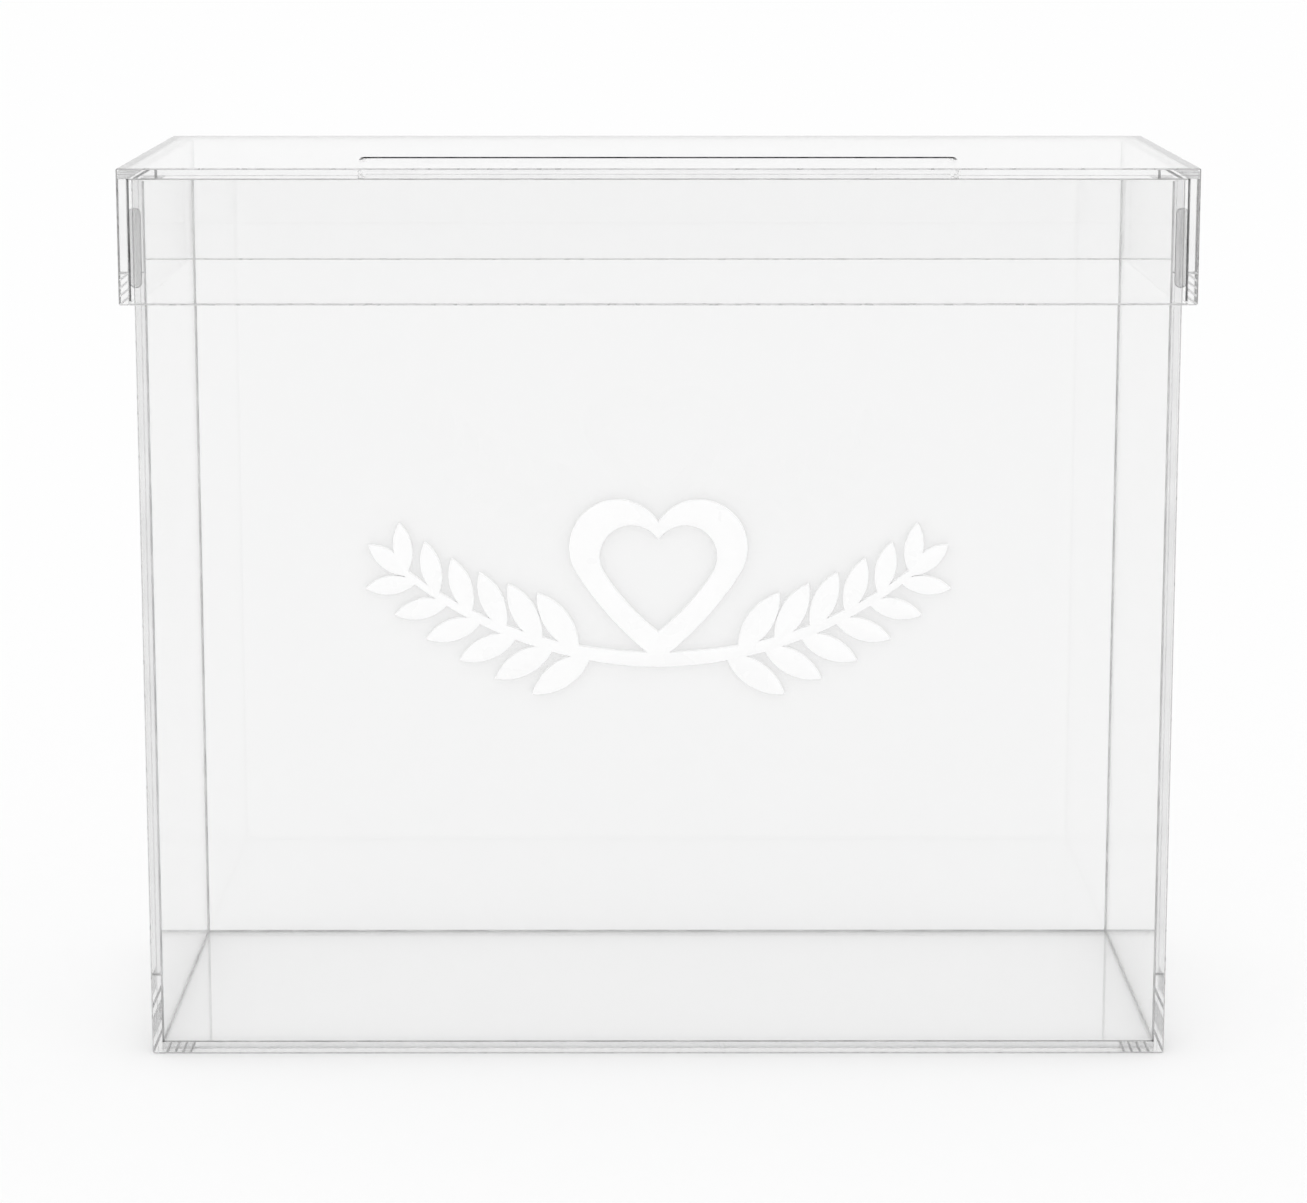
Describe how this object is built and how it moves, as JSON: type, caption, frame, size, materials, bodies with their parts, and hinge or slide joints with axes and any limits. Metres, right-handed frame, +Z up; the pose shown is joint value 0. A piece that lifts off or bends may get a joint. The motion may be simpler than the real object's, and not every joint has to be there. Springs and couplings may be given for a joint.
{
  "type": "card box",
  "caption": "Clear acrylic tub with a lift-off cap lid; a long slot in the lid's top takes card envelopes at a party, and a white cut-out dresses the front.",
  "frame": {"origin": "middle of the underside, on the surface the box stands on", "axes": "+Z up, the front with the white cut-out faces -Y, +X to the right seen from the front"},
  "size_m": [0.308, 0.138, 0.262],
  "materials": {
    "clear_acrylic": "polished",
    "white_acrylic": "gloss"
  },
  "bodies": {
    "box": {"base_panel": "clear_acrylic", "front_panel": "clear_acrylic", "back_panel": "clear_acrylic", "left_panel": "clear_acrylic", "right_panel": "clear_acrylic", "front_ornament": "white_acrylic"},
    "lid": {"lid_top": "clear_acrylic", "lid_front_skirt": "clear_acrylic", "lid_back_skirt": "clear_acrylic", "lid_left_skirt": "clear_acrylic", "lid_right_skirt": "clear_acrylic"}
  },
  "joints": [
    {"name": "lid_lift", "type": "slide", "parent": "box", "child": "lid", "axis": [0, 0, 1], "range_m": [0, 0.08]}
  ]
}
